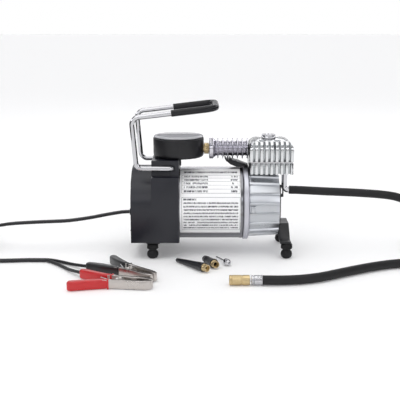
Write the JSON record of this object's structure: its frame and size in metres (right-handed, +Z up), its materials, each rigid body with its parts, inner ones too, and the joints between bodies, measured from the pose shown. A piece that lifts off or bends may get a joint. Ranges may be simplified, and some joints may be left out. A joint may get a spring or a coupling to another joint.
{
  "type": "portable tire inflator",
  "caption": "Portable 12 V piston air compressor with carrying handle, top gauge, finned cylinder head, air hose with screw-on chuck, battery clamps and three nozzles.",
  "frame": {"origin": "centre of the bottom of the box round the compressor and its three nozzles, on the floor", "axes": "+X from the cord end to the cylinder end along the motor axis, -Y towards the front (label) side, +Z up"},
  "size_m": [0.627, 0.1774, 0.1492],
  "materials": {
    "silver_paint": "satin silver paint",
    "cast_aluminium": "as cast, bright",
    "black_plastic": "fine moulded grain",
    "steel": "machined",
    "chrome": "polished plate",
    "brass": "machined",
    "rubber": "matt",
    "black_vinyl": "dipped vinyl",
    "red_vinyl": "soft vinyl sleeve on nickel-plated steel",
    "black_paint": "black enamel",
    "ferrite": "sintered",
    "copper": "machined copper",
    "phenolic": "moulded phenolic",
    "ptfe": "filled PTFE",
    "clear_lens": "clear moulding",
    "dial_white": "matt white print"
  },
  "bodies": {
    "base": {"motor_can": "silver_paint", "magnet_upper": "ferrite", "magnet_lower": "ferrite", "front_bearing": "steel", "brush_plate": "phenolic", "motor_front_plate": "cast_aluminium", "crankcase": "cast_aluminium", "cylinder_barrel": "cast_aluminium", "valve_plate": "steel", "cylinder_head": "cast_aluminium", "valve_cap": "chrome", "head_screw_1": "steel", "head_screw_2": "steel", "head_screw_3": "steel", "head_screw_4": "steel", "outlet_pipe": "cast_aluminium", "gauge_fitting": "brass", "gauge_case": "black_plastic", "gauge_dial": "dial_white", "gauge_lens": "clear_lens", "bourdon_tube": "brass", "rear_cover": "black_plastic", "switch_bezel": "black_plastic", "cord_gland": "rubber", "rear_stand": "black_paint", "front_stand": "black_paint", "foot_rear_near": "rubber", "foot_rear_far": "rubber", "foot_front_near": "rubber", "foot_front_far": "rubber", "pipe_saddle": "rubber", "hose_elbow": "chrome", "hose_out": "rubber", "hose_coil": "rubber", "hose_back": "rubber", "hose_ferrule": "chrome", "cord_out": "rubber", "cord_coil": "rubber", "cord_back": "rubber", "lead_black": "rubber", "lead_red": "rubber", "red_clamp_far": "red_vinyl", "black_clamp_near": "black_vinyl", "long_nozzle": "black_plastic", "short_nozzle": "black_plastic", "ball_needle": "chrome"},
    "rotor": {"armature_shaft": "steel", "armature_core": "steel", "commutator": "copper", "crank_disc": "steel"},
    "piston": {"connecting_rod": "cast_aluminium", "big_end_bearing": "steel", "piston_cup": "ptfe"},
    "handle": {"handle_wire": "chrome", "handle_grip": "black_vinyl"},
    "rocker": {"rocker_switch": "black_plastic"},
    "pointer": {"gauge_pointer": "black_plastic"},
    "chuck": {"chuck_nut": "brass"},
    "red_jaw": {"red_clamp_near": "red_vinyl"},
    "black_jaw": {"black_clamp_far": "black_vinyl"}
  },
  "joints": [
    {"name": "handle_fold", "type": "hinge", "parent": "base", "child": "handle", "pos_m": [-0.0363, 0.0222, 0.0883], "axis": [0, 1, 0], "range_deg": [-14, 28]},
    {"name": "switch_rock", "type": "hinge", "parent": "base", "child": "rocker", "pos_m": [-0.0748, 0.0102, 0.031], "axis": [0, -1, 0], "range_deg": [0, 20]},
    {"name": "rotor_spin", "type": "hinge", "parent": "base", "child": "rotor", "pos_m": [-0.0093, 0.0222, 0.049], "axis": [1, 0, 0], "continuous": true},
    {"name": "piston_stroke", "type": "slide", "parent": "base", "child": "piston", "axis": [0, 0, 1], "range_m": [-0.012, 0]},
    {"name": "pointer_sweep", "type": "hinge", "parent": "base", "child": "pointer", "pos_m": [-0.0304, 0.0222, 0.1115], "axis": [0, 0, 1], "range_deg": [-270, 0], "stiffness_Nm_per_rad": 0.00001},
    {"name": "chuck_spin", "type": "hinge", "parent": "base", "child": "chuck", "pos_m": [0.0247, -0.0908, 0.0046], "axis": [1, 0, 0], "continuous": true},
    {"name": "red_clamp_open", "type": "hinge", "parent": "base", "child": "red_jaw", "pos_m": [-0.0783, -0.0953, 0.0043], "axis": [0, 0, -1], "range_deg": [0, 28], "stiffness_Nm_per_rad": 0.8, "springref_deg": -11.46},
    {"name": "black_clamp_open", "type": "hinge", "parent": "base", "child": "black_jaw", "pos_m": [-0.0713, -0.0653, 0.0043], "axis": [0, 0, 1], "range_deg": [0, 25], "stiffness_Nm_per_rad": 0.8, "springref_deg": -11.46}
  ]
}
